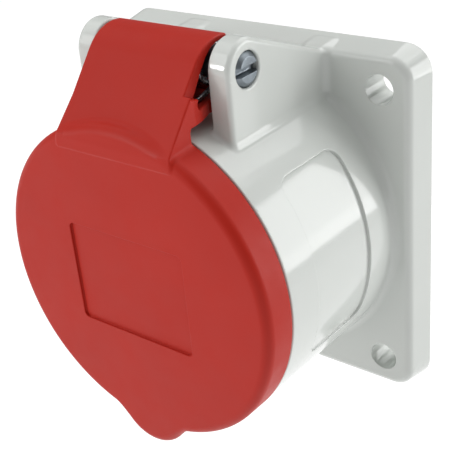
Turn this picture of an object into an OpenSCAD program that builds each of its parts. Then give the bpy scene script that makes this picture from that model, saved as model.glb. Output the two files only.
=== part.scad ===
// Panel-mounting industrial socket outlet with a square flange, a round
// barrel and a sprung hinged lid. Millimetres, +Z up.
// X to the right, the panel plane at Y = 0, the front of the socket at -Y.

/* [Flange] */
// Width and height of the square flange
flange_w = 75; // [74:0.5:80]
// Thickness of the flange
flange_t = 7; // [6.5:0.1:8]
// Corner radius of the flange
flange_corner_r = 5.5; // [4:0.5:7]
// How far each side of the flange draws in from its back to its front
flange_draft = 1.2; // [0.8:0.1:1.6]
// Distance between fixing holes, the same both ways
hole_pitch = 60; // [59:0.5:62]
// Radius of a fixing hole
hole_r = 3; // [2.5:0.1:3.2]
// Thickness of the panel gasket let into the flange's back
gasket_t = 1.5; // [1:0.1:2]

/* [Barrel] */
// Outer radius of the barrel where it meets the flange
barrel_r_back = 32.9; // [32.6:0.1:33]
// Outer radius of the barrel behind the lid
barrel_r_front = 32.4; // [32.2:0.1:32.6]
// How far the barrel's full diameter stands in front of the panel
barrel_y = 41.3; // [41:0.1:41.5]
// Outer radius of the collar under the lid's skirt
collar_r = 29.6; // [29.3:0.1:29.7]
// How far the collar's rim stands in front of the panel
collar_y = 45.5; // [45:0.1:45.6]
// Inner radius of the collar, around the plug's shroud
mouth_r = 27.3; // [27:0.1:27.6]

/* [Hinge] */
// How far the hinge pin stands in front of the panel
hinge_y = 30.5; // [30:0.1:31]
// Height of the hinge pin above the socket's axis
hinge_z = 39.9; // [39.5:0.1:40.5]
// Radius of the hinge ears' rounded nose
ear_r = 5.6; // [5.2:0.1:6]
// Inner face of each hinge ear, from the middle
ear_in = 13.7; // [13.5:0.1:14]
// Outer face of each hinge ear, from the middle
ear_out = 18.2; // [17.8:0.1:18.6]
// Radius of the hinge pin's shank
pin_r = 2.5; // [2:0.1:2.6]
// Radius of the hinge pin's slotted head
pin_head_r = 3.25; // [3:0.05:3.4]
// Radial running clearance of the lid on the hinge pin
pin_gap = 0.06; // [0.03:0.01:0.09]

/* [Lid] */
// Outer radius of the lid's face
lid_r = 32.45; // [32.2:0.05:32.5]
// Outer radius of the skirt's rear edge
skirt_r = 32.55; // [32.4:0.05:32.6]
// Inner radius of the skirt
skirt_in = 31; // [30.9:0.1:31.1]
// How far the lid's face stands in front of the panel
lid_y = 48.7; // [48.6:0.1:49.2]
// How far the skirt's rear edge stands in front of the panel
skirt_y = 41.7; // [41.7:0.1:42]
// Half width of the hinge hood between the ears
hood_x = 12.7; // [12:0.1:13]
// Right-hand half width of the arm in front of the ears
arm_x = 14.2; // [13.8:0.1:14.5]

/* [Contacts] */
// Radius of the circle that the contacts stand on
pitch_r = 15; // [14.8:0.1:15.3]
// Radius of the contact carrier's core
core_r = 23.8; // [23.5:0.1:24]
// Bore radius of a line or neutral sleeve
live_bore = 2.55; // [2.4:0.05:2.6]
// Bore radius of the earth sleeve
earth_bore = 3.55; // [3.4:0.05:3.6]

/* [Hidden] */
$fn = 96;

// Pole angles, seen from the front: earth at the bottom, then clockwise.
A_EARTH = -90;
A_L1 = -162;
A_L2 = 126;
A_L3 = 54;
A_N = -18;

lid_in_y = lid_y - 1.7;       // inner face of the lid
carrier_back = 5.5;           // rear face of the carrier's base, in front of the panel
carrier_base = 9;             // front face of the carrier's base
core_y = 42;                  // front face of the core
bay_back = 13.3;              // rear end of the terminal bays, behind the panel
rear_y = 18;                  // rear face of the terminal housing, behind the panel
rear_r = 27;                  // outer radius of the terminal housing
lug_x = 5.5;                  // half width of the lid's hinge lug
coil_r = 3.6;                 // mean radius of a spring coil
wire_r = 0.5;                 // radius of the spring wire
coil_x0 = 6.4;                // centre of the wire at the coil's first end
coil_x1 = 11.0;               // centre of the wire at the coil's last end
floor_end = -28.6;            // rear end of the lid's side walls and floor
screw_x = 29.8;               // carrier screws, from the middle

// Local +Z points to the front, local X and Y are the row's X and Z.
module front(y) translate([0, -y, 0]) rotate([90, 0, 0]) children();
// Extrudes a (Y, Z) profile along X between x0 and x1.
module along_x(x0, x1) translate([x0, 0, 0]) rotate([90, 0, 90])
    linear_extrude(x1 - x0) children();
// A cylinder along X about the hinge axis.
module on_hinge(x0, x1, r) translate([x0, -hinge_y, hinge_z]) rotate([0, 90, 0])
    cylinder(h = x1 - x0, r = r);
// Places children on the pitch circle at an angle, radial direction on local X.
module at_pole(a) rotate([0, -a, 0]) translate([pitch_r, 0, 0]) children();

module rrect(w, h, r) {
    square([w - 2 * r, h], center = true);
    square([w, h - 2 * r], center = true);
    for (sx = [-1, 1], sy = [-1, 1])
        translate([sx * (w / 2 - r), sy * (h / 2 - r)]) circle(r);
}

// Pads round the fixing holes that reach back to the panel through the gasket.
module corner_pads(r) {
    for (sx = [-1, 1], sz = [-1, 1])
        translate([sx * hole_pitch / 2, sz * hole_pitch / 2]) {
            circle(r);
            translate([sx > 0 ? 0 : -8, sz > 0 ? -r : -8]) square([8, 8 + r]);
            translate([sx > 0 ? -r : -8, sz > 0 ? 0 : -8]) square([8 + r, 8]);
        }
}

// The flange's plate, with drafted sides.
module flange_plate() {
    h = flange_w / 2;
    c = h - flange_corner_r;
    for (sx = [-1, 1], sz = [-1, 1]) translate([sx * c, 0, sz * c])
        front(0) cylinder(h = flange_t, r1 = flange_corner_r,
                          r2 = flange_corner_r - flange_draft);
    along_x(-c, c) polygon([[0, -h], [0, h],
        [-flange_t, h - flange_draft], [-flange_t, -h + flange_draft]]);
    translate([0, 0, -c]) linear_extrude(2 * c) polygon([[-h, 0], [h, 0],
        [h - flange_draft, -flange_t], [-h + flange_draft, -flange_t]]);
}

module ear_profile() {
    foot = flange_w / 2 - flange_draft;
    d = norm([hinge_y - flange_t, hinge_z - foot]);
    a = 180 - atan2(hinge_z - foot, hinge_y - flange_t) - asin(ear_r / d);
    t = sqrt(d * d - ear_r * ear_r);
    translate([-hinge_y, hinge_z]) circle(ear_r);
    polygon([[-hinge_y - ear_r, hinge_z], [-hinge_y - ear_r, 24], [-5, 24], [-5, foot],
             [-flange_t, foot],
             [-flange_t + t * cos(a), foot + t * sin(a)]]);
}

module barrel() {
    // wall, shoulder and collar
    front(0) rotate_extrude() polygon([
        [mouth_r, 10], [30, 10], [30, 0], [33, 0], [33.9, flange_t + 0.6],
        [barrel_r_back + 0.2, flange_t + 1.2], [barrel_r_front, barrel_y],
        [collar_r, barrel_y], [collar_r, collar_y - 0.4], [collar_r - 0.4, collar_y],
        [mouth_r + 0.5, collar_y], [mouth_r, collar_y - 0.5]]);
}

module housing() {
    color("gainsboro") difference() {
        union() {
            difference() {
                flange_plate();
                front(-1) cylinder(h = flange_t + 2, r = 30.5);
            }
            barrel();
            difference() {
                for (s = [-1, 1])
                    along_x(s > 0 ? ear_in : -ear_out, s > 0 ? ear_out : -ear_in)
                        ear_profile();
                front(-1) cylinder(h = 60, r = 31);
            }
        }
        // fixing holes with eased rims
        for (sx = [-1, 1], sz = [-1, 1])
            translate([sx * hole_pitch / 2, 0, sz * hole_pitch / 2]) {
                front(-1) cylinder(h = flange_t + 2, r = hole_r);
                front(flange_t - 0.15) cylinder(h = 0.3, r1 = hole_r, r2 = hole_r + 0.3);
            }
        // gasket recess in the flange's back
        front(-1) linear_extrude(1 + gasket_t) difference() {
            rrect(71.2, 71.2, 4.6);
            circle(33.2);
            corner_pads(5);
        }
        // hinge pin bores: head and shank on the right, blind on the left
        on_hinge(15.4, 20, pin_head_r + 0.05);
        on_hinge(ear_out - 0.4, ear_out + 1, pin_head_r + 0.35);
        on_hinge(ear_in - 1, 16, pin_r + 0.02);
        on_hinge(-16.9, -ear_in + 1, pin_r + 0.02);
        // keyway for the plug, at the bottom of the mouth
        translate([-4, -60, -28.5]) cube([8, 48, 4]);
        // seats for the carrier's two screw lobes
        for (s = [-1, 1]) translate([s * screw_x, 0, 0]) {
            front(-1) cylinder(h = 1 + carrier_base, r = 2);
            front(0) cylinder(h = 20, r = 1.25);
        }
        // blank nameplate field let into the right of the barrel
        intersection() {
            front(12) difference() {
                cylinder(h = 24, r = 35);
                translate([0, 0, -1]) cylinder(h = 26, r = 32.25);
            }
            rotate([0, -7.5, 0]) translate([20, -24.3, 0]) rotate([90, 0, 90])
                linear_extrude(20) rrect(17.4, 35.6, 3);
        }
    }
}

module flange_gasket() {
    color("dimgray") front(0) linear_extrude(gasket_t) difference() {
        rrect(71, 71, 4.5);
        circle(33.3);
        corner_pads(5.15);
    }
}

// Outer line of the arm's slope and of the hood over the hinge: a straight
// slope that runs tangent into an arc, over an inner line clear of the coils.
module hood_profile() {
    polygon(concat([[-48.4, 29.6]],
        [for (a = [140.3 : -6.2 : 78]) [-30.9 + 9.11 * cos(a), 36.4 + 9.11 * sin(a)]],
        [[-28.8, 45.26], [-28.8, 44.6], [-31.5, 44.5], [-34.4, 43], [-36.6, 40.4],
         [-38.6, 37.2], [-40, 35.3], [-46.1, 28]]));
}

module lid() {
    color("firebrick") difference() {
        union() {
            // face and skirt
            front(0) rotate_extrude() polygon([
                [0, lid_y], [30.55, lid_y], [31.5, lid_y - 0.25], [32.2, lid_y - 0.95],
                [lid_r, lid_y - 1.9],
                [skirt_r, skirt_y], [skirt_in, skirt_y], [skirt_in, lid_in_y], [0, lid_in_y]]);
            // arm and hood, clear of the collar's swing space
            difference() {
                union() {
                    along_x(-hood_x, hood_x) hood_profile();
                    along_x(0, arm_x) polygon([
                        [-48.4, 29.6], [-42, 37.3], [-40, 35.3], [-46.1, 28]]);
                    // side walls with a notch, running back between the ears;
                    // the right-hand one stands out wider in front of its ear
                    intersection() {
                        for (s = [-1, 1])
                            along_x(s > 0 ? 11.6 : -arm_x, s > 0 ? arm_x : -11.6) polygon([
                                [-48.4, 29.6], [-41.8, 37.4], [-39.1, 36.75], [-39.6, 35.75],
                                [-39.3, 34.95], [-39.0, 34.85], [floor_end, 34.85],
                                [floor_end, 32.5], [-42.1, 32.5], [-42.4, 31.8],
                                [-42.4, 27], [-48.4, 27]]);
                        // in plan the walls draw in towards the ears
                        linear_extrude(60) polygon([
                            [-hood_x, -50], [arm_x, -50], [arm_x, -41], [13.75, -38.4],
                            [12.6, -35.2], [12.6, -20], [-12.6, -20], [-hood_x, -36]]);
                    }
                    // floor between the walls, under the coils
                    along_x(-12, 12) polygon([[-42.5, 33.3], [floor_end, 33.3],
                        [floor_end, 35], [floor_end - 0.9, 35], [floor_end - 0.9, 34.4],
                        [-42.5, 34.4]]);
                }
                front(30) cylinder(h = lid_in_y - 30, r = skirt_in);
                front(30) cylinder(h = 12, r = 33);
            }
            // hinge lug
            difference() {
                along_x(-lug_x, lug_x) union() {
                    translate([-hinge_y, hinge_z]) circle(5);
                    polygon([[-hinge_y, hinge_z + 5], [-36.6, 42.8], [-40.9, 37.8],
                             [-42.6, 35], [-39.5, 34], [-hinge_y, hinge_z - 5]]);
                }
                on_hinge(-lug_x - 1, lug_x + 1, pin_r + pin_gap);
            }
            // thumb tab
            front(lid_y - 3.6) linear_extrude(3) difference() {
                translate([0, -28.5]) circle(8.3);
                circle(skirt_in);
            }
            // rib that holds the seal, and the nose that keeps a plug in
            front(lid_in_y - 1.2) linear_extrude(1.8) difference() {
                circle(27.1);
                circle(26.2);
            }
            translate([-4, -lid_in_y - 1, -26.7]) cube([8, 3.4, 2.2]);
        }
        // shallow label field in the face
        front(lid_y - 0.5) translate([0, -0.1]) linear_extrude(2)
            rrect(28.2, 21.4, 1.2);
    }
}

module lid_seal() {
    color("black") front(45.8) linear_extrude(lid_in_y - 45.8) difference() {
        circle(30.2);
        circle(27.15);
    }
}

module hinge_pin() {
    color("slategray") difference() {
        union() {
            on_hinge(-16.7, 15.6, pin_r);
            on_hinge(15.5, ear_out - 0.6, pin_head_r);
            translate([ear_out - 0.6, -hinge_y, hinge_z]) rotate([0, 90, 0])
                cylinder(h = 0.9, r1 = pin_head_r, r2 = pin_head_r - 0.85);
        }
        translate([ear_out - 1.4, -hinge_y - 5, hinge_z - 0.8]) cube([3, 10, 1.6]);
    }
}

// Centre line of the right-hand spring: a leg on the barrel's top, the coil,
// and a leg that presses on the lid's floor.
function spring_path() =
    let (n = 46, turns = 4)
    concat(
        [[coil_x0, -19.4, 33.25], [coil_x0, -21.6, 33.4], [coil_x0, -24, 34.1],
         [coil_x0, -26.4, 35.1], [coil_x0, -28.6, 35.95]],
        [for (i = [0:n]) let (t = i / n, a = 270 - 360 * turns * t)
            [coil_x0 + (coil_x1 - coil_x0) * t,
             -hinge_y + coil_r * cos(a), hinge_z + coil_r * sin(a)]],
        [[coil_x1, -32.2, 36.1], [coil_x1, -34.2, 35.5], [coil_x1 - 0.1, -36.2, 35.05],
         [coil_x1 - 0.1, -38.2, 34.92], [coil_x1 - 0.1, -39.6, 34.92]]);

function unit(v) = v / norm(v);

module wire(path, r, m = 6) {
    n = len(path);
    tang = [for (i = [0:n - 1])
        unit(path[min(i + 1, n - 1)] - path[max(i - 1, 0)])];
    pts = [for (i = [0:n - 1])
        let (t = tang[i],
             c = [0, -hinge_y, hinge_z],
             out = [0, path[i][1] - c[1], path[i][2] - c[2]],
             u0 = out - t * (out * t),
             u = unit(u0), v = cross(t, u))
        for (k = [0:m - 1]) path[i] + r * (cos(360 * k / m) * u + sin(360 * k / m) * v)];
    faces = concat(
        [[for (k = [m - 1:-1:0]) k]],
        [for (i = [0:n - 2], k = [0:m - 1])
            let (a = i * m + k, b = i * m + (k + 1) % m) [a, b, b + m, a + m]],
        [[for (k = [0:m - 1]) (n - 1) * m + k]]);
    polyhedron(points = pts, faces = [for (f = faces) [for (k = [len(f) - 1:-1:0]) f[k]]],
               convexity = 10);
}

module hinge_springs() {
    color("silver") {
        wire(spring_path(), wire_r);
        mirror([1, 0, 0]) wire(spring_path(), wire_r);
    }
}

module pole_holes(live, earth) {
    for (a = [A_L1, A_L2, A_L3, A_N]) at_pole(a) circle_bore(live);
    at_pole(A_EARTH) circle_bore(earth);
}
module circle_bore(r) front(-40) cylinder(h = 100, r = r);

module contact_carrier() {
    color([0.12, 0.12, 0.13]) difference() {
        front(carrier_base) rotate_extrude() polygon([
            [0, 0], [core_r, 0], [core_r, core_y - carrier_base - 0.8],
            [core_r - 0.8, core_y - carrier_base], [0, core_y - carrier_base]]);
        // chambers from behind and pin entries from the front
        intersection() {
            pole_holes(4.6, 5.6);
            front(0) cylinder(h = 40.5, r = 40);
        }
        pole_holes(2.9, 3.9);
        front(0) cylinder(h = 22, r = 1.3);
    }
}

module carrier_plate() {
    color([0.12, 0.12, 0.13]) difference() {
        union() {
            front(carrier_back) cylinder(h = carrier_base - carrier_back, r = 29.8);
            for (s = [-1, 1]) translate([s * screw_x, 0, 0])
                front(carrier_back) cylinder(h = carrier_base - carrier_back, r = 1.9);
        }
        pole_holes(5.05, 6.05);
        for (s = [-1, 1]) translate([s * screw_x, 0, 0])
            front(0) cylinder(h = 20, r = 1.3);
        front(0) cylinder(h = 22, r = 1.3);
    }
}

module carrier_seal() {
    color("black") front(carrier_base) linear_extrude(1) difference() {
        circle(28.3);
        circle(27.4);
    }
}

module carrier_screws() {
    color("silver") for (s = [-1, 1]) translate([s * screw_x, 0, 0]) difference() {
        union() {
            front(carrier_back - 12) translate([0, 0, 12]) cylinder(h = 13, r = 1.22);
            front(carrier_back - 1.6) cylinder(h = 1.6, r = 1.85);
        }
        front(0) translate([-0.3, -3, 0]) cube([0.6, 6, carrier_back - 1]);
    }
}

module terminal_housing() {
    color([0.2, 0.2, 0.21]) difference() {
        union() {
            front(-rear_y) cylinder(h = rear_y + carrier_back, r = rear_r);
            front(carrier_back - 2.5) cylinder(h = 2.5, r = 27.8);
        }
        for (a = [A_EARTH, A_L1, A_L2, A_L3, A_N]) at_pole(a) {
            // terminal bay, open towards the carrier
            w = (a == A_EARTH) ? 10.6 : 9.3;
            translate([-w / 2, -20, -w / 2]) cube([w, 20 + bay_back, w]);
            // square cable entry, and screwdriver access from the side
            translate([-2.7, 0, -2.7]) cube([5.4, 25, 5.4]);
            translate([0, 3.8, -2.7]) cube([20, 5.4, 5.4]);
        }
        // fixing screw through the middle
        front(-60) cylinder(h = 80, r = 1.6);
        front(-rear_y - 1) cylinder(h = 7, r = 3.2);
    }
}

module terminal_housing_screw() {
    color("silver") difference() {
        union() {
            front(-rear_y + 5.9) cylinder(h = rear_y - 5.9 + 20, r = 1.25);
            front(-rear_y + 3.7) cylinder(h = 2.3, r = 2.9);
        }
        translate([-0.4, rear_y - 5, -4]) cube([0.8, 5, 8]);
    }
}

module contact(a, bore, wall) {
    color("goldenrod") at_pole(a) difference() {
        union() {
            front(carrier_base - 1) cylinder(h = 30, r = bore + wall);
            front(carrier_back + 0.05) cylinder(h = 3.4, r = (bore > 3) ? 5.95 : 4.95);
            front(-1) cylinder(h = carrier_base + 1, r = 3.4);
            front(-13) cylinder(h = 13, r = (bore > 3) ? 5.1 : 4.5);
        }
        // sleeve bore, pull-in slots, cable bore and screw hole
        front(carrier_base + 5) cylinder(h = 30, r = bore);
        translate([-8, -45, -0.35]) cube([16, 20, 0.7]);
        translate([0, 3, 0]) rotate([-90, 0, 0]) cylinder(h = 20, r = 2.1);
        translate([0, 6.5, 0]) rotate([0, 90, 0]) cylinder(h = 10, r = 1.55);
    }
}

module clamp_ring(a, bore, wall) {
    color("lightsteelblue") at_pole(a) front(31.5) linear_extrude(3) difference() {
        circle(bore + wall + 0.75);
        circle(bore + wall + 0.03);
        translate([-8, -0.6]) square([8, 1.2]);
    }
}

module terminal_screw(a) {
    color("silver") at_pole(a) difference() {
        union() {
            translate([2.3, 6.5, 0]) rotate([0, 90, 0]) cylinder(h = 3.4, r = 1.5);
            translate([5.5, 6.5, 0]) rotate([0, 90, 0]) cylinder(h = 2.2, r = 2.4);
        }
        translate([6.9, 2, -0.4]) cube([2, 9, 0.8]);
    }
}

module contact_earth() { contact(A_EARTH, earth_bore, 1); }
module contact_l1() { contact(A_L1, live_bore, 1); }
module contact_l2() { contact(A_L2, live_bore, 1); }
module contact_l3() { contact(A_L3, live_bore, 1); }
module contact_n() { contact(A_N, live_bore, 1); }

housing();
flange_gasket();
lid();
lid_seal();
hinge_pin();
hinge_springs();
contact_carrier();
carrier_plate();
carrier_seal();
carrier_screws();
terminal_housing();
terminal_housing_screw();
contact_earth();
contact_l1();
contact_l2();
contact_l3();
contact_n();
clamp_ring(A_EARTH, earth_bore, 1);  // clamp_ring_earth
clamp_ring(A_L1, live_bore, 1);  // clamp_ring_l1
clamp_ring(A_L2, live_bore, 1);  // clamp_ring_l2
clamp_ring(A_L3, live_bore, 1);  // clamp_ring_l3
clamp_ring(A_N, live_bore, 1);  // clamp_ring_n
terminal_screw(A_EARTH);  // terminal_screw_earth
terminal_screw(A_L1);  // terminal_screw_l1
terminal_screw(A_L2);  // terminal_screw_l2
terminal_screw(A_L3);  // terminal_screw_l3
terminal_screw(A_N);  // terminal_screw_n
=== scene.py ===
import bpy, math, time
import numpy as np
from mathutils import Vector, Matrix


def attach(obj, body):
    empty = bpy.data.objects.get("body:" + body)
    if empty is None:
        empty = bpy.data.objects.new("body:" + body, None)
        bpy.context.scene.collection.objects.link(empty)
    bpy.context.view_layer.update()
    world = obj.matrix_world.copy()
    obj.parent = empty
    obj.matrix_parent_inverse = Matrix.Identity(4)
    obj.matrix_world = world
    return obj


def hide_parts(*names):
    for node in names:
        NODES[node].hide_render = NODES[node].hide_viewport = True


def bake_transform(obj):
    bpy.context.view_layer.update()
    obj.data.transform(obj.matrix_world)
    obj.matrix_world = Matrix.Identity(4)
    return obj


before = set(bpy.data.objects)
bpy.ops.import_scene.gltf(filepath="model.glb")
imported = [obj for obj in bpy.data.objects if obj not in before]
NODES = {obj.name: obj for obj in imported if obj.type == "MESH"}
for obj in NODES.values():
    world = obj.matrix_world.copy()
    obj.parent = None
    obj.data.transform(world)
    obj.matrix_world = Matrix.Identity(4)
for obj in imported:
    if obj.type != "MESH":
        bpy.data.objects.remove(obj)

T0 = time.time()
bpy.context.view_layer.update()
MM = 0.001


def log(*a):
    print("[%.1fs]" % (time.time() - T0), *a)


# ------------------------------------------------------------------ distance functions
# All in millimetres, in the row frame; negative inside. s is the distance in
# front of the panel plane, s = -y.

def meet(a, b, r):
    """Intersection with a convex edge of radius r."""
    if r <= 0:
        return np.maximum(a, b)
    u = np.maximum(a + r, 0); v = np.maximum(b + r, 0)
    return np.minimum(np.maximum(a, b), -r) + np.sqrt(u * u + v * v)


def join(a, b, r):
    """Union with a concave fillet of radius r."""
    if r <= 0:
        return np.minimum(a, b)
    u = np.maximum(r - a, 0); v = np.maximum(r - b, 0)
    return np.maximum(r, np.minimum(a, b)) - np.sqrt(u * u + v * v)


def cut(a, b, r):
    return meet(a, -b, r)


def rrect(x, z, hx, hz, r):
    qx = np.abs(x) - (hx - r); qz = np.abs(z) - (hz - r)
    return np.minimum(np.maximum(qx, qz), 0) + np.hypot(np.maximum(qx, 0), np.maximum(qz, 0)) - r


def slab(v, lo, hi, r=0.0):
    return np.abs(v - (lo + hi) / 2) - (hi - lo) / 2


def poly(px, py, pts):
    """Exact distance to a closed polygon."""
    pts = np.asarray(pts, float)
    n = len(pts)
    d = None
    inside = np.zeros(px.shape, bool)
    for i in range(n):
        ax, ay = pts[i]; bx, by = pts[(i + 1) % n]
        ex, ey = bx - ax, by - ay
        wx, wy = px - ax, py - ay
        t = np.clip((wx * ex + wy * ey) / (ex * ex + ey * ey), 0, 1)
        dx, dy = wx - ex * t, wy - ey * t
        q = dx * dx + dy * dy
        d = q if d is None else np.minimum(d, q)
        if ey != 0:
            c = ((ay <= py) != (by <= py)) & ((wx * ey - wy * ex) * np.sign(ey) < 0)
            inside ^= c
    d = np.sqrt(d)
    return np.where(inside, -d, d)


def extrude(d2, dz, r=0.0):
    return meet(d2, dz, r)


HY, HZ = 30.5, 39.9            # hinge axis, in front of the panel and above the axis


def housing_sdf(x, y, z):
    s = -y
    r = np.hypot(x, z)
    # flange with drafted sides and rounded front edges
    draft = 0.1714 * np.clip(s, 0, 7)
    out = rrect(x, z, 37.5 - draft, 37.5 - draft, 5.5 - draft) * 0.985
    plate = meet(out, s - 7, 1.4)
    plate = meet(plate, -s, 0.35)
    # barrel and collar
    wall = r - (32.9 - (s - 8.2) * 0.0151)
    barrel = meet(wall, s - 41.3, 0.3)
    collar = meet(r - 29.6, s - 45.5, 0.5)
    # ears with their webs back to the flange
    hn = np.hypot(y + HY, z - HZ) - 5.6
    d = math.hypot(HY - 7, HZ - 36.3)
    a = math.pi - math.atan2(HZ - 36.3, HY - 7) - math.asin(5.6 / d)
    t = math.sqrt(d * d - 5.6 ** 2)
    web = poly(y, z, [(-HY - 5.6, HZ), (-HY - 5.6, 22), (-3, 22), (-3, 36.3), (-7, 36.3),
                      (-7 + t * math.cos(a), 36.3 + t * math.sin(a)), (-HY, HZ)])
    ear2 = np.minimum(hn, web)
    ax = np.abs(x)
    ear = meet(ear2, ax - 18.2, 0.95)
    ear = meet(ear, 13.7 - ax, 0.4)
    # the webs' top edges are crisper than the noses
    core = r - 31.0
    body = join(barrel, ear, 1.1)
    body = np.minimum(body, collar)
    # fillet where the barrel meets the flange
    body = join(plate, body, 1.7)
    # mouth, rear counterbore
    body = cut(body, meet(r - 27.3, np.maximum(s - 60, 10 - s), 0), 0.5)
    rear = meet(r - 30.0, s - 10, 0)
    body = cut(body, rear, 0.25)
    # eased fixing holes
    for sx in (-1, 1):
        for sz in (-1, 1):
            h = np.hypot(x - sx * 30, z - sz * 30) - 3.0
            body = cut(body, h, 0.15)
    # gasket recess
    px, pz = np.abs(x) - 30, np.abs(z) - 30
    pad = np.minimum(np.hypot(px, pz) - 5, np.minimum(np.maximum(-px, -5 - pz), np.maximum(-pz, -5 - px)))
    g = np.maximum(np.maximum(rrect(x, z, 35.6, 35.6, 4.6), 33.2 - r), np.maximum(s - 1.5, -s - 5))
    g = np.maximum(g, -pad)
    body = cut(body, g, 0.1)
    # hinge bores
    hr = np.hypot(y + HY, z - HZ)
    body = cut(body, np.maximum(hr - 3.3, 15.4 - x), 0.45)
    body = cut(body, np.maximum(hr - 2.52, np.maximum(x - 16, 0 - x)), 0.2)
    body = cut(body, np.maximum(hr - 2.52, np.maximum(x, -16.9 - x)), 0.2)
    # keyway
    body = cut(body, np.maximum(np.abs(x) - 4, np.maximum(np.abs(z + 26.5) - 2.0, np.maximum(s - 60, 12 - s))), 0.3)
    # screw seats
    for sx in (-1, 1):
        h = np.hypot(x - sx * 29.8, z)
        body = cut(body, np.maximum(h - 2.0, s - 9), 0.1)
    # blank nameplate field
    ang = np.arctan2(z, x)
    u = (ang - math.radians(7.2)) * 32.4
    f2 = rrect(u, s - 24.35, 18.9, 8.75, 3.0)
    field = np.maximum(f2, 32.2 - r + 0 * r)
    field = np.maximum(field, r - 36)
    body = np.where(x > 5, cut(body, field, 0.16), body)
    return body


def lid_sdf(x, y, z):
    s = -y
    r = np.hypot(x, z)
    ax = np.abs(x)
    side = r - (32.55 - (s - 41.7) * 0.0143)
    cap = meet(side, s - 48.7, 1.9)
    cap = meet(cap, 41.7 - s, 0.35)
    # thumb tab, in one outline with the rim
    tab2 = join(side, np.hypot(x, z + 28.5) - 8.3, 1.6)
    tab = meet(tab2, s - 48.7, 1.9)
    tab = meet(tab, 45.1 - s, 0.5)
    tab = np.where(z < -18, tab, 99.0)
    cap = np.minimum(cap, tab)
    # arm: slope and hood
    nx, nz = -0.7692, 0.6390
    slope = (y + 42) * nx + (z - 37.3) * nz
    arc = np.hypot(y + 30.9, z - 36.4) - 9.11
    outer = np.where((y + 30.9) * 0.6390 + (z - 36.4) * 0.7692 > 0, arc, slope)
    inner = poly(y, z, [(-28, 30), (-28, 44.55), (-31.5, 44.45), (-33.2, 43.9), (-34.8, 42.7), (-36.6, 40.4),
                        (-38.6, 37.4), (-40.2, 35.3), (-46.1, 28), (-46, 20), (-28, 20)])
    shell = meet(outer, -inner, 0.35)
    shell = meet(shell, np.maximum(-48.6 - y, y + 28.8), 0.3)
    shell = np.maximum(shell, 27 - z)
    hood = meet(shell, ax - 12.7, 0.3)
    front = meet(np.maximum(shell, slope), y + 41.4, 0.25)
    flare = 12.7 + np.clip((35.5 - z) * 0.115, 0, 0.65)
    wide = meet(front, np.where(x > 0, x - 14.2, -x - flare), 0.35)
    # side walls with a notch, which run back between the ears, and the floor between them
    wall2 = poly(y, z, [(-48.6, 29.36), (-41.8, 37.4), (-39.1, 36.75), (-39.6, 35.75), (-39.3, 34.95),
                        (-39.0, 34.85), (-28.6, 34.85), (-28.6, 32.5), (-42.1, 32.5), (-42.4, 31.8),
                        (-42.4, 27), (-48.6, 27)])
    plan = poly(ax, y, [(0, -52), (14.2, -52), (14.2, -41), (13.75, -38.4), (12.6, -35.2), (12.6, -20), (0, -20)])
    plan = np.where(x > 0, plan, np.maximum(-x - flare, np.abs(y + 36) - 16))
    wall = meet(meet(wall2, plan, 0.25), 11.6 - ax, 0.2)
    floor_ = meet(np.maximum(np.abs(y + 35.55) - 6.95, np.abs(z - 33.85) - 0.55), ax - 12, 0.1)
    lip = meet(np.maximum(np.abs(y + 29.05) - 0.45, np.abs(z - 34.6) - 0.4), ax - 12, 0.1)
    floor_ = np.minimum(floor_, lip)
    wall = join(wall, floor_, 0.3)
    wall = np.where(np.abs(y + 38) < 14, wall, 99.0)
    arm = np.minimum(np.minimum(hood, wide), wall)
    # keep the arm out of the collar's swing space
    arm = cut(arm, np.maximum(r - 31.0, np.maximum(s - 47.0, 30 - s)), 0.2)
    arm = cut(arm, np.maximum(r - 33.0, np.maximum(s - 41.9, 30 - s)), 0.2)
    body = join(cap, arm, 0.7)
    # lug
    hr = np.hypot(y + HY, z - HZ)
    lug2 = np.minimum(hr - 5, poly(y, z, [(-HY, HZ + 5), (-36.6, 42.8), (-40.9, 37.8), (-42.6, 35),
                                          (-39.5, 34), (-HY, HZ - 5)]))
    lug = meet(lug2, ax - 5.5, 0.3)
    body = join(body, lug, 0.5)
    body = cut(body, np.maximum(hr - 2.56, ax - 7), 0.15)
    # inside of the cap, with the seal's rib and the nose
    inside = np.maximum(meet(r - 31.0, s - 47.0, 0.9), 36 - s)
    body = cut(body, inside, 0.3)
    rib = meet(np.abs(r - 26.65) - 0.45, np.maximum(s - 47.6, 45.8 - s), 0.2)
    nose = meet(meet(ax - 4, np.abs(z + 25.6) - 1.1, 0.4), np.maximum(s - 47.6, 44.6 - s), 0.4)
    body = np.minimum(body, np.minimum(rib, nose))
    # shallow label field
    f2 = rrect(x, z + 0.1, 14.1, 10.7, 1.1)
    body = cut(body, np.maximum(f2, 48.15 - s), 0.14)
    return body


def pin_sdf(x, y, z):
    r = np.hypot(y + HY, z - HZ)
    shank = meet(r - 2.5, np.maximum(-16.7 - x, x - 15.6), 0.3)
    head = meet(r - 3.25, 15.5 - x, 0.1)
    head = meet(head, x - 18.5, 0.06)
    head = meet(head, (0.9 * (r - 2.4) + 0.85 * (x - 18.5)) / 1.238, 0.08)
    body = np.minimum(shank, head)
    return cut(body, np.maximum(np.abs(z - HZ) - 0.8, 16.8 - x), 0.07)


POLES = [(math.radians(a), k) for a, k in ((-90, 1), (-162, 0), (126, 0), (54, 0), (-18, 0))]


def core_sdf(x, y, z):
    s = -y
    r = np.hypot(x, z)
    body = meet(meet(r - 23.8, s - 42.0, 0.9), 9 - s, 0.1)
    for a, e in POLES:
        h = np.hypot(x - 15 * math.cos(a), z - 15 * math.sin(a))
        rb, rc = (3.9, 5.6) if e else (2.9, 4.6)
        body = cut(body, h - rb, 0.45)
        body = cut(body, np.maximum(h - rc, s - 40.5), 0)
    return cut(body, np.maximum(r - 1.3, s - 22), 0)


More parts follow.
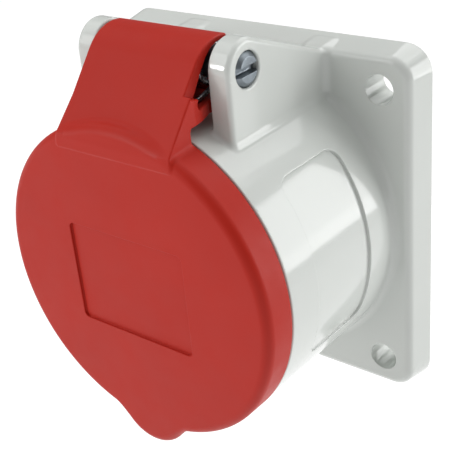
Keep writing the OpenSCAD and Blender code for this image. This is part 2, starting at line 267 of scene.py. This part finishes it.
def terminal_sdf(x, y, z):
    s = -y
    r = np.hypot(x, z)
    body = meet(meet(r - 27, -18 - s, 1.0), s - 5.5, 0.1)
    rim = meet(r - 27.8, np.abs(s - 4.25) - 1.25, 0.2)
    body = join(body, rim, 0.3)
    for a, e in POLES:
        c, sn = math.cos(a), math.sin(a)
        t = x * c + z * sn; w = -x * sn + z * c
        hw = 5.3 if e else 4.65
        bay = np.maximum(rrect(t - 15, w, hw, hw, 0.4), y - 13.3)
        body = cut(body, bay, 0.1)
        body = cut(body, rrect(t - 15, w, 2.7, 2.7, 0.3), 0.2)
        body = cut(body, np.maximum(rrect(w, y - 6.5, 2.7, 2.7, 0.3), 15 - t), 0.2)
    body = cut(body, r - 1.6, 0.1)
    return cut(body, np.maximum(r - 3.2, 12 - y), 0.3)


# ------------------------------------------------------------------ meshing
def grid_values(f, lo, hi, h):
    """Values on a lattice, computed only near the surface."""
    lo = np.array(lo, float); hi = np.array(hi, float)
    n = np.ceil((hi - lo) / h).astype(int) + 1
    B = 8
    nb = (n + B - 1) // B
    n = nb * B
    bx, by, bz = [lo[k] + (np.arange(nb[k]) * B + (B - 1) / 2) * h for k in range(3)]
    X, Y, Z = np.meshgrid(bx, by, bz, indexing="ij")
    c = f(X.ravel(), Y.ravel(), Z.ravel())
    V = np.repeat(np.repeat(np.repeat(np.sign(c).reshape(nb) * 10, B, 0), B, 1), B, 2).astype(np.float32)
    near = np.flatnonzero(np.abs(c) < 0.5 * (B + 1.5) * h * 1.7321 + 0.35)
    off = np.arange(B) * h
    OX, OY, OZ = np.meshgrid(off, off, off, indexing="ij")
    ii = np.arange(B)
    chunk = max(1, 400000 // B ** 3)
    blocks = np.stack(np.unravel_index(near, nb), 1)
    for k in range(0, len(blocks), chunk):
        b = blocks[k:k + chunk]
        o = lo + b * B * h
        X = o[:, 0, None, None, None] + OX; Y = o[:, 1, None, None, None] + OY; Z = o[:, 2, None, None, None] + OZ
        v = f(X.ravel(), Y.ravel(), Z.ravel()).reshape(X.shape)
        for (p, q, w), vv in zip(b * B, v):
            V[p:p + B, q:q + B, w:w + B] = vv
    return V, lo


def surface_nets(V, lo, h):
    S = V < 0
    cnt = np.zeros(tuple(np.array(V.shape) - 1), np.int8)
    for dx in (0, 1):
        for dy in (0, 1):
            for dz in (0, 1):
                cnt += S[dx:V.shape[0] - 1 + dx, dy:V.shape[1] - 1 + dy, dz:V.shape[2] - 1 + dz]
    act = (cnt > 0) & (cnt < 8)
    ids = np.flatnonzero(act)
    index = np.full(act.shape, -1, np.int32)
    index.ravel()[ids] = np.arange(len(ids))
    I = np.stack(np.unravel_index(ids, act.shape), 1)
    corners = [(dx, dy, dz) for dx in (0, 1) for dy in (0, 1) for dz in (0, 1)]
    val = {c: V[I[:, 0] + c[0], I[:, 1] + c[1], I[:, 2] + c[2]] for c in corners}
    P = np.zeros((len(ids), 3)); N = np.zeros(len(ids))
    for c in corners:
        for ax in range(3):
            if c[ax] == 0:
                e = list(c); e[ax] = 1; e = tuple(e)
                a, b = val[c], val[e]
                m = (a < 0) != (b < 0)
                t = np.where(m, a / np.where(m, a - b, 1), 0)
                q = np.zeros((len(ids), 3)); q[:] = c; q[:, ax] = t
                P += q * m[:, None]; N += m
    P = lo + (I + P / N[:, None]) * h
    faces = []
    n = V.shape
    for ax in range(3):
        o1, o2 = [(1, 2), (2, 0), (0, 1)][ax]
        sl0 = [slice(1, n[k] - 1) for k in range(3)]; sl0[ax] = slice(0, n[ax] - 1)
        sl1 = list(sl0); sl1[ax] = slice(1, n[ax])
        a = S[tuple(sl0)]; b = S[tuple(sl1)]
        k = np.argwhere(a != b)
        if not len(k):
            continue
        flip = a[k[:, 0], k[:, 1], k[:, 2]]
        base = k.copy()
        for q in range(3):
            if q != ax:
                base[:, q] += 1
        def cell(d1, d2):
            c = base.copy(); c[:, o1] -= d1; c[:, o2] -= d2
            return index[c[:, 0], c[:, 1], c[:, 2]]
        quad = np.stack([cell(1, 1), cell(0, 1), cell(0, 0), cell(1, 0)], 1)
        quad[~flip] = quad[~flip][:, ::-1]
        faces.append(quad)
    return P, np.concatenate(faces)


def gradient(f, P, e=0.02):
    g = np.empty_like(P)
    for k in range(3):
        d = np.zeros(3); d[k] = e
        g[:, k] = (f(*(P + d).T) - f(*(P - d).T)) / (2 * e)
    return g


def smooth_on(f, P, F, h, rounds=2):
    """Evens out the mesh along the surface, then puts each point back on it."""
    for it in range(rounds + 1):
        for k in range(2):
            g = gradient(f, P)
            n2 = np.maximum((g * g).sum(1), 0.05)
            step = (f(*P.T) / n2)[:, None] * g
            L = np.linalg.norm(step, axis=1)
            step *= np.minimum(1, 0.7 * h / np.maximum(L, 1e-9))[:, None]
            P = P - step
        if it < rounds:
            acc = np.zeros_like(P); cnt = np.zeros(len(P))
            for a, b in ((0, 1), (1, 2), (2, 3), (3, 0)):
                for u, v in ((a, b), (b, a)):
                    cnt += np.bincount(F[:, u], minlength=len(P))
                    for c in range(3):
                        acc[:, c] += np.bincount(F[:, u], weights=P[F[:, v], c], minlength=len(P))
            A = acc / np.maximum(cnt, 1)[:, None]
            d = A - P
            nrm = g / np.sqrt(n2)[:, None]
            d -= nrm * (d * nrm).sum(1)[:, None]
            P = P + 0.5 * d
    return P


def mesh_object(name, P, F, quads=True):
    me = bpy.data.meshes.new(name)
    me.vertices.add(len(P)); me.vertices.foreach_set("co", (np.asarray(P) * MM).astype(np.float32).ravel())
    k = F.shape[1]
    me.loops.add(F.size); me.loops.foreach_set("vertex_index", F.astype(np.int32).ravel())
    me.polygons.add(len(F))
    me.polygons.foreach_set("loop_start", np.arange(0, F.size, k, dtype=np.int32))
    me.update(calc_edges=True); me.validate()
    ob = bpy.data.objects.new(name, me)
    bpy.context.scene.collection.objects.link(ob)
    return ob


def apply_modifiers(ob):
    dg = bpy.context.evaluated_depsgraph_get()
    me = bpy.data.meshes.new_from_object(ob.evaluated_get(dg))
    old = ob.data
    ob.modifiers.clear()
    ob.data = me
    me.name = ob.name
    bpy.data.meshes.remove(old)
    return ob


def project(f, P, h, rounds=2):
    for k in range(rounds):
        g = gradient(f, P)
        n2 = np.maximum((g * g).sum(1), 0.05)
        step = (f(*P.T) / n2)[:, None] * g
        L = np.linalg.norm(step, axis=1)
        step *= np.minimum(1, 0.6 * h / np.maximum(L, 1e-9))[:, None]
        P = P - step
    return P


def refine(f, P, T, tol, lmin, limit, passes=5):
    """Splits the edges that cut across the surface's curvature, until their middles lie on it."""
    for it in range(passes):
        E = np.sort(T[:, [0, 1, 1, 2, 2, 0]].reshape(-1, 2), axis=1)
        key = E[:, 0].astype(np.int64) * len(P) + E[:, 1]
        uk, inv = np.unique(key, return_inverse=True)
        a, b = uk // len(P), uk % len(P)
        mid = (P[a] + P[b]) / 2
        L = np.linalg.norm(P[a] - P[b], axis=1)
        err = np.abs(f(*mid.T))
        mark = (err > tol) & (L > lmin)
        room = (limit - len(T)) / 2
        if room < 100 or not mark.any():
            break
        if mark.sum() > room:
            cutoff = np.sort(err[mark])[-int(room)]
            mark &= err >= cutoff
        new = np.full(len(uk), -1, np.int64)
        new[mark] = len(P) + np.arange(mark.sum())
        P = np.concatenate([P, project(f, mid[mark], 0.4)])
        M = new[inv].reshape(-1, 3)
        n = (M >= 0).sum(1)
        out = [T[n == 0]]
        for r in range(3):
            t = np.roll(T, -r, 1); m = np.roll(M, -r, 1)
            q = (n == 1) & (m[:, 0] >= 0)
            out += [np.stack([t[q, 0], m[q, 0], t[q, 2]], 1), np.stack([m[q, 0], t[q, 1], t[q, 2]], 1)]
            q = (n == 2) & (m[:, 0] >= 0) & (m[:, 1] >= 0)
            out.append(np.stack([m[q, 0], t[q, 1], m[q, 1]], 1))
            d1 = np.linalg.norm(P[t[q, 0]] - P[m[q, 1]], axis=1) <= np.linalg.norm(P[m[q, 0]] - P[t[q, 2]], axis=1)
            A, B, C, D = t[q, 0], m[q, 0], m[q, 1], t[q, 2]
            out += [np.stack([A[d1], B[d1], C[d1]], 1), np.stack([A[d1], C[d1], D[d1]], 1),
                    np.stack([A[~d1], B[~d1], D[~d1]], 1), np.stack([B[~d1], C[~d1], D[~d1]], 1)]
        q = n == 3
        t, m = T[q], M[q]
        out += [np.stack([t[:, 0], m[:, 0], m[:, 2]], 1), np.stack([m[:, 0], t[:, 1], m[:, 1]], 1),
                np.stack([m[:, 2], m[:, 1], t[:, 2]], 1), np.stack([m[:, 0], m[:, 1], m[:, 2]], 1)]
        T = np.concatenate(out)
    return P, T


def mould(name, f, lo, hi, h, base=60000, limit=185000, tol=0.006, lmin=0.12):
    """A closed moulded surface from a distance function."""
    V, o = grid_values(f, lo, hi, h)
    P, F = surface_nets(V, o, h)
    P = smooth_on(f, P, F, h)
    ob = mesh_object(name, P, F)
    tris = 2 * len(F)
    m = ob.modifiers.new("d", "DECIMATE"); m.ratio = min(1, base / tris); m.use_collapse_triangulate = True
    apply_modifiers(ob)
    me = ob.data
    co = np.zeros(len(me.vertices) * 3, np.float32); me.vertices.foreach_get("co", co)
    P = project(f, co.reshape(-1, 3).astype(float) / MM, h)
    T = np.zeros(len(me.polygons) * 3, np.int32); me.polygons.foreach_get("vertices", T)
    P, T = refine(f, P, T.reshape(-1, 3), tol, lmin, limit)
    bpy.data.objects.remove(ob); bpy.data.meshes.remove(me)
    ob = mesh_object(name, P, T)
    me = ob.data
    me.polygons.foreach_set("use_smooth", np.ones(len(me.polygons), bool))
    co = np.zeros(len(me.vertices) * 3, np.float32); me.vertices.foreach_get("co", co)
    Q = co.reshape(-1, 3).astype(float) / MM
    g = gradient(f, Q, 0.03)
    g /= np.maximum(np.linalg.norm(g, axis=1), 1e-6)[:, None]
    me.normals_split_custom_set_from_vertices(g.tolist())
    log(name, "quads", len(F), "faces", len(me.polygons))
    return ob


def sweep(name, path, radius, m=14):
    """A round wire along a path, with closed, slightly domed ends."""
    path = np.asarray(path, float); n = len(path)
    tang = np.gradient(path, axis=0); tang /= np.linalg.norm(tang, axis=1)[:, None]
    u = np.cross(tang[0], [0.3, 0.5, 0.8]); u /= np.linalg.norm(u)
    rings = []
    for i in range(n):
        t = tang[i]
        u = u - t * np.dot(u, t); u /= np.linalg.norm(u)
        v = np.cross(t, u)
        a = np.linspace(0, 2 * np.pi, m, endpoint=False)
        rings.append((u, v, t))
    P = []
    ring_r = []
    caps = [(-0.0, 0.45), (0.35, 0.8)]
    seq = [(0, -0.22, 0.55), (0, -0.12, 0.85), (0, 0, 1)] + [(i, 0, 1) for i in range(1, n - 1)] + \
          [(n - 1, 0, 1), (n - 1, 0.12, 0.85), (n - 1, 0.22, 0.55)]
    for i, off, k in seq:
        u, v, t = rings[i]
        a = np.linspace(0, 2 * np.pi, m, endpoint=False)[:, None]
        P.append(path[i] + t * off * radius * 2 + radius * k * (np.cos(a) * u + np.sin(a) * v))
    P = np.concatenate(P)
    L = len(seq)
    F = []
    for i in range(L - 1):
        for k in range(m):
            F.append((i * m + k, i * m + (k + 1) % m, (i + 1) * m + (k + 1) % m, (i + 1) * m + k))
    F = [list(q) for q in F]
    F.append(list(range(m))[::-1]); F.append([(L - 1) * m + k for k in range(m)])
    me = bpy.data.meshes.new(name)
    me.from_pydata((P * MM).tolist(), [], F); me.validate()
    me.polygons.foreach_set("use_smooth", np.ones(len(me.polygons), bool))
    ob = bpy.data.objects.new(name, me)
    bpy.context.scene.collection.objects.link(ob)
    return ob


def catmull(pts, per=6):
    pts = [np.array(p, float) for p in pts]
    pts = [2 * pts[0] - pts[1]] + pts + [2 * pts[-1] - pts[-2]]
    out = []
    for i in range(1, len(pts) - 2):
        p0, p1, p2, p3 = pts[i - 1:i + 3]
        for k in range(per):
            t = k / per
            out.append(0.5 * ((2 * p1) + (-p0 + p2) * t + (2 * p0 - 5 * p1 + 4 * p2 - p3) * t * t
                              + (-p0 + 3 * p1 - 3 * p2 + p3) * t ** 3))
    out.append(pts[-2])
    return out


# ------------------------------------------------------------------ materials
def new_mat(name):
    m = bpy.data.materials.new(name); m.use_nodes = True
    nt = m.node_tree
    for n in list(nt.nodes):
        nt.nodes.remove(n)
    out = nt.nodes.new("ShaderNodeOutputMaterial")
    b = nt.nodes.new("ShaderNodeBsdfPrincipled")
    nt.links.new(b.outputs[0], out.inputs[0])
    co = nt.nodes.new("ShaderNodeTexCoord")
    return m, nt, b, co


def noise(nt, co, scale, detail=3, rough=0.5, vec=None):
    n = nt.nodes.new("ShaderNodeTexNoise")
    n.inputs["Scale"].default_value = scale
    n.inputs["Detail"].default_value = detail
    n.inputs["Roughness"].default_value = rough
    nt.links.new(vec if vec is not None else co.outputs["Object"], n.inputs["Vector"])
    return n


def ramp(nt, src, stops):
    r = nt.nodes.new("ShaderNodeValToRGB")
    e = r.color_ramp.elements
    while len(e) < len(stops):
        e.new(0.5)
    for k, (p, c) in enumerate(stops):
        e[k].position = p
        e[k].color = (*c, 1) if len(c) == 3 else c
    nt.links.new(src, r.inputs[0])
    return r


def maprange(nt, src, a, b, c, d):
    r = nt.nodes.new("ShaderNodeMapRange")
    r.inputs["From Min"].default_value = a; r.inputs["From Max"].default_value = b
    r.inputs["To Min"].default_value = c; r.inputs["To Max"].default_value = d
    nt.links.new(src, r.inputs["Value"])
    return r


def bump(nt, b, src, strength, dist, normal=None):
    n = nt.nodes.new("ShaderNodeBump")
    n.inputs["Strength"].default_value = strength
    n.inputs["Distance"].default_value = dist
    nt.links.new(src, n.inputs["Height"])
    if normal is not None:
        nt.links.new(normal, n.inputs["Normal"])
    nt.links.new(n.outputs[0], b.inputs["Normal"])
    return n


def plastic(name, base, var, rough, rough_var, grain, grain_scale, spec=0.5, grain_dist=0.00004, coat=0.0):
    m, nt, b, co = new_mat(name)
    big = noise(nt, co, 60, 2)
    fine = noise(nt, co, grain_scale, 2, 0.6)
    lo = tuple(max(0, c * (1 - var)) for c in base); hi = tuple(min(1, c * (1 + var)) for c in base)
    r = ramp(nt, big.outputs["Fac"], [(0.3, lo), (0.7, hi)])
    nt.links.new(r.outputs[0], b.inputs["Base Color"])
    mr = maprange(nt, noise(nt, co, 240, 3).outputs["Fac"], 0.3, 0.7, rough - rough_var, rough + rough_var)
    nt.links.new(mr.outputs[0], b.inputs["Roughness"])
    b.inputs["Specular IOR Level"].default_value = spec
    if coat:
        b.inputs["Coat Weight"].default_value = coat
        b.inputs["Coat Roughness"].default_value = 0.15
    bump(nt, b, fine.outputs["Fac"], grain, grain_dist)
    return m


def metal(name, base, rough, rough_var, scratch=0.3, aniso=0.0, stretch=(1, 1, 1), dark=(0.3, 0.3, 0.3), stain=0.25):
    m, nt, b, co = new_mat(name)
    b.inputs["Metallic"].default_value = 1.0
    mp = nt.nodes.new("ShaderNodeMapping")
    mp.inputs["Scale"].default_value = stretch
    nt.links.new(co.outputs["Object"], mp.inputs["Vector"])
    st = noise(nt, co, 900, 4, 0.6, vec=mp.outputs[0])
    cl = noise(nt, co, 180, 4, 0.6)
    lo = tuple(c * (1 - stain) for c in base)
    r = ramp(nt, cl.outputs["Fac"], [(0.35, lo), (0.62, base)])
    nt.links.new(r.outputs[0], b.inputs["Base Color"])
    mr = maprange(nt, st.outputs["Fac"], 0.3, 0.7, rough - rough_var, rough + rough_var)
    nt.links.new(mr.outputs[0], b.inputs["Roughness"])
    bump(nt, b, st.outputs["Fac"], scratch, 0.00002)
    return m


MAT = {
    "housing": plastic("housing_plastic", (0.625, 0.650, 0.622), 0.012, 0.11, 0.02, 0.05, 5200, grain_dist=0.000004),
    "lid": plastic("lid_plastic", (0.435, 0.017, 0.008), 0.03, 0.46, 0.05, 0.30, 2600, spec=0.20, grain_dist=0.00003),
    "gasket": plastic("gasket_rubber", (0.03, 0.03, 0.03), 0.15, 0.75, 0.08, 0.4, 2500),
    "seal": plastic("seal_rubber", (0.015, 0.015, 0.015), 0.15, 0.6, 0.08, 0.3, 3000),
    "carrier": plastic("carrier_plastic", (0.016, 0.016, 0.018), 0.1, 0.38, 0.06, 0.2, 3500),
    "terminal": plastic("terminal_plastic", (0.035, 0.036, 0.038), 0.1, 0.5, 0.06, 0.3, 3000),
    "pin": metal("pin_steel", (0.24, 0.27, 0.295), 0.42, 0.08, stretch=(1, 1, 1)),
    "spring": metal("spring_steel", (0.42, 0.43, 0.45), 0.28, 0.06),
    "brass": metal("contact_brass", (0.80, 0.58, 0.24), 0.28, 0.08, stretch=(1, 0.1, 1)),
    "screw": metal("screw_steel", (0.62, 0.63, 0.65), 0.3, 0.08),
}
for n, ob in NODES.items():
    k = ("housing" if n == "housing" else "lid" if n == "lid" else "seal" if n == "lid_seal" else
         "gasket" if n in ("flange_gasket", "carrier_seal") else "pin" if n == "hinge_pin" else
         "spring" if n == "hinge_springs" or n.startswith("clamp_ring") else
         "carrier" if n in ("contact_carrier", "carrier_plate") else "terminal" if n == "terminal_housing" else
         "brass" if n.startswith("contact_") else "screw")
    if len(ob.data.materials) == 0:
        ob.data.materials.append(MAT[k])
    for i in range(len(ob.material_slots)):
        ob.material_slots[i].material = MAT[k]

# ------------------------------------------------------------------ pieces
h = mould("housing_moulding", housing_sdf, (-38.4, -46.4, -38.4), (38.4, 0.9, 46.4), 0.42, 70000, 190000)
h.data.materials.append(MAT["housing"])
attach(h, "socket"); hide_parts("housing")
l = mould("lid_moulding", lid_sdf, (-33.6, -49.6, -37.9), (33.6, -27.9, 46.4), 0.38, 60000, 150000)
l.data.materials.append(MAT["lid"])
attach(l, "lid"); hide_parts("lid")

pn = mould("hinge_pin_steel", pin_sdf, (-17.1, -34.2, 36.2), (18.9, -26.8, 43.6), 0.2, 20000, 60000)
pn.data.materials.append(MAT["pin"])
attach(pn, "socket"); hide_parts("hinge_pin")
cr = mould("contact_carrier_core", core_sdf, (-24.2, -42.4, -24.2), (24.2, -8.6, 24.2), 0.5, 30000, 80000)
cr.data.materials.append(MAT["carrier"])
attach(cr, "socket"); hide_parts("contact_carrier")
th = mould("terminal_block", terminal_sdf, (-28.9, -5.9, -28.9), (28.9, 18.4, 28.9), 0.5, 30000, 80000)
th.data.materials.append(MAT["terminal"])
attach(th, "socket"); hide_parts("terminal_housing")

# torsion springs on the pin
def spring_path():
    x0, x1, R, y0 = 6.4, 11.0, 3.6, -HY
    n = 36 * 4
    coil = []
    for i in range(n + 1):
        t = i / n; a = math.radians(270 - 360 * 4 * t)
        coil.append(np.array((x0 + (x1 - x0) * t, y0 + R * math.cos(a), HZ + R * math.sin(a))))
    legs = catmull([(x0, -19.4, 33.25), (x0, -21.6, 33.4), (x0, -24, 34.1), (x0, -26.4, 35.1), (x0, -28.6, 35.95),
                    coil[0]], 5)[:-1]
    tail = catmull([coil[-1], (x1, -32.2, 36.1), (x1, -34.2, 35.5), (x1 - 0.1, -36.2, 35.05),
                    (x1 - 0.1, -38.2, 34.92), (x1 - 0.1, -39.6, 34.92)], 5)[1:]
    return legs + coil + tail


for sgn, nm in ((1, "right"), (-1, "left")):
    P = np.array(spring_path()); P[:, 0] *= sgn
    sp = sweep("hinge_spring_" + nm, P, 0.5)
    sp.data.materials.append(MAT["spring"])
    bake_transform(sp)
    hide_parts("hinge_springs")

# ------------------------------------------------------------------ floor, lights, camera
def area(name, loc, target, size, power, color=(1, 1, 1), size_y=None):
    L = bpy.data.lights.new(name, "AREA"); L.energy = power; L.size = size; L.color = color
    if size_y:
        L.shape = "RECTANGLE"; L.size_y = size_y
    o = bpy.data.objects.new(name, L); bpy.context.scene.collection.objects.link(o)
    o.location = loc
    o.rotation_euler = (Vector(target) - Vector(loc)).to_track_quat("-Z", "Y").to_euler()
    return o


me = bpy.data.meshes.new("floor")
me.from_pydata([(-4, -4, 0), (4, -4, 0), (4, 4, 0), (-4, 4, 0)], [], [(0, 1, 2, 3)])
floor = bpy.data.objects.new("floor", me); bpy.context.scene.collection.objects.link(floor)
floor.location = (0, 0, -0.22)
fm, nt, b, co = new_mat("floor_paint")
b.inputs["Base Color"].default_value = (0.25, 0.25, 0.25, 1); b.inputs["Roughness"].default_value = 0.9
b.inputs["Specular IOR Level"].default_value = 0.1
b.inputs["Emission Color"].default_value = (1, 1, 1, 1); b.inputs["Emission Strength"].default_value = 0.92
floor.data.materials.append(fm)

world = bpy.data.worlds.new("studio"); bpy.context.scene.world = world; world.use_nodes = True
bg = world.node_tree.nodes["Background"]
bg.inputs[0].default_value = (1, 1, 1, 1); bg.inputs[1].default_value = 0.20


def polar(az, el, d):
    """A place at azimuth az from the front towards the right, elevation el, distance d."""
    a, e = math.radians(az), math.radians(el)
    return (d * math.sin(a) * math.cos(e), -d * math.cos(a) * math.cos(e) - 0.02, d * math.sin(e))


def softbox(name, loc, target, w, h, radiance):
    return area(name, loc, target, w, radiance * math.pi * w * h, size_y=h)


AIM = (0, -0.02, 0)
softbox("side_window", polar(130, 9, 0.7), AIM, 0.36, 0.46, 4.2)
softbox("side_high", polar(125, 50, 0.8), AIM, 0.50, 0.35, 1.2)
softbox("top", polar(0, 89, 0.9), AIM, 0.90, 0.90, 1.0)
softbox("back_high", polar(180, 50, 0.9), AIM, 0.80, 0.60, 2.0)
softbox("left_high", polar(-90, 50, 0.8), AIM, 0.50, 0.50, 0.8)
softbox("key", polar(-37, 32, 0.8), AIM, 0.50, 0.50, 2.2)
softbox("sparkle", polar(-37, 13, 0.8), AIM, 0.14, 0.14, 22.0)

cam = bpy.data.cameras.new("camera"); co_ = bpy.data.objects.new("camera", cam)
bpy.context.scene.collection.objects.link(co_)
yaw, pitch, roll = [math.radians(v) for v in (40.76, 27.50, -5.67)]
f_px, cx, cy = 993.94, 225.06, 225.02
co_.location = (0.11998, -0.15864, 0.09551)


def camera_axes(yaw, pitch, roll):
    """Right, up and back of a camera that looks at the object from azimuth yaw and elevation pitch."""
    back = np.array([math.sin(yaw) * math.cos(pitch), -math.cos(yaw) * math.cos(pitch), math.sin(pitch)])
    right = np.array([math.cos(yaw), math.sin(yaw), 0.0])
    up = np.cross(back, right)
    c, s = math.cos(roll), math.sin(roll)
    return c * right + s * up, -s * right + c * up, back


R, U, Bk = camera_axes(yaw, pitch, roll)
co_.rotation_euler = Matrix((R, U, Bk)).transposed().to_euler()
cam.sensor_width = 36; cam.sensor_fit = "HORIZONTAL"
cam.lens = f_px / 450 * 36
cam.shift_x = -(cx - 225) / 450; cam.shift_y = (cy - 225) / 450
cam.clip_start = 0.01; cam.clip_end = 20
bpy.context.scene.camera = co_
bpy.context.scene.view_settings.view_transform = "Standard"

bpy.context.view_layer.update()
log("done")
